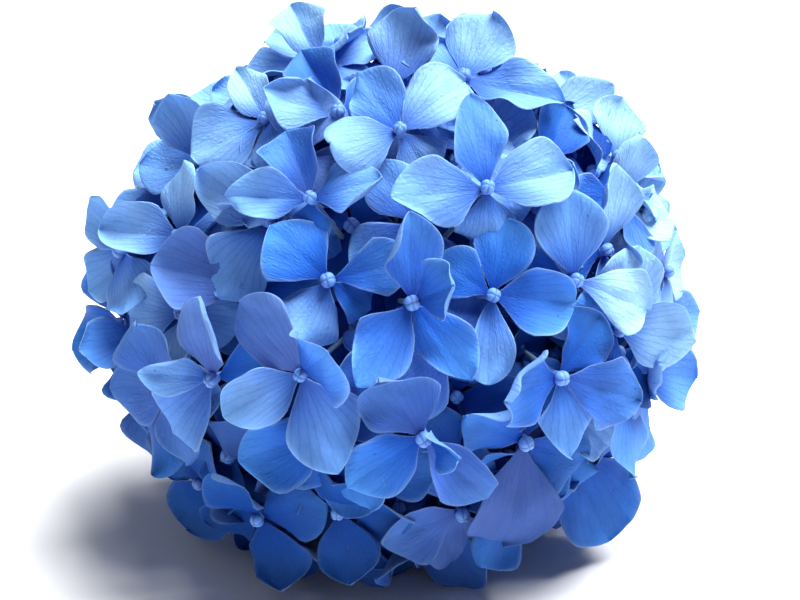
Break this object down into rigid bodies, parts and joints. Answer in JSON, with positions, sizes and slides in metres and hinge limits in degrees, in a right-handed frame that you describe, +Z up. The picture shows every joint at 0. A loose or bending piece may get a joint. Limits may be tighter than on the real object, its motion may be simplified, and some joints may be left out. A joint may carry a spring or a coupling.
{
  "type": "hydrangea flower head",
  "caption": "Cut mophead bloom of bigleaf hydrangea: a dense ball of broad blue sepals round small buds, on a short green stem, lying on its side.",
  "frame": {"origin": "on the surface that the bloom lies on, at the middle of its bounding box's footprint", "axes": "+Z up, the head faces -Y and the stem runs back along +Y, +X to the right of someone who looks at the head's face"},
  "size_m": [0.184, 0.2414, 0.163],
  "materials": {
    "stem": "smooth fresh green stem, semi-matt",
    "sepals": "soft matt petals, finely veined"
  },
  "bodies": {
    "root": {"stem_and_rays": "stem", "spray_01": "sepals", "spray_02": "sepals", "spray_03": "sepals", "spray_04": "sepals", "spray_05": "sepals", "spray_06": "sepals", "spray_07": "sepals", "spray_08": "sepals", "spray_09": "sepals", "spray_10": "sepals", "spray_11": "sepals"}
  },
  "joints": []
}
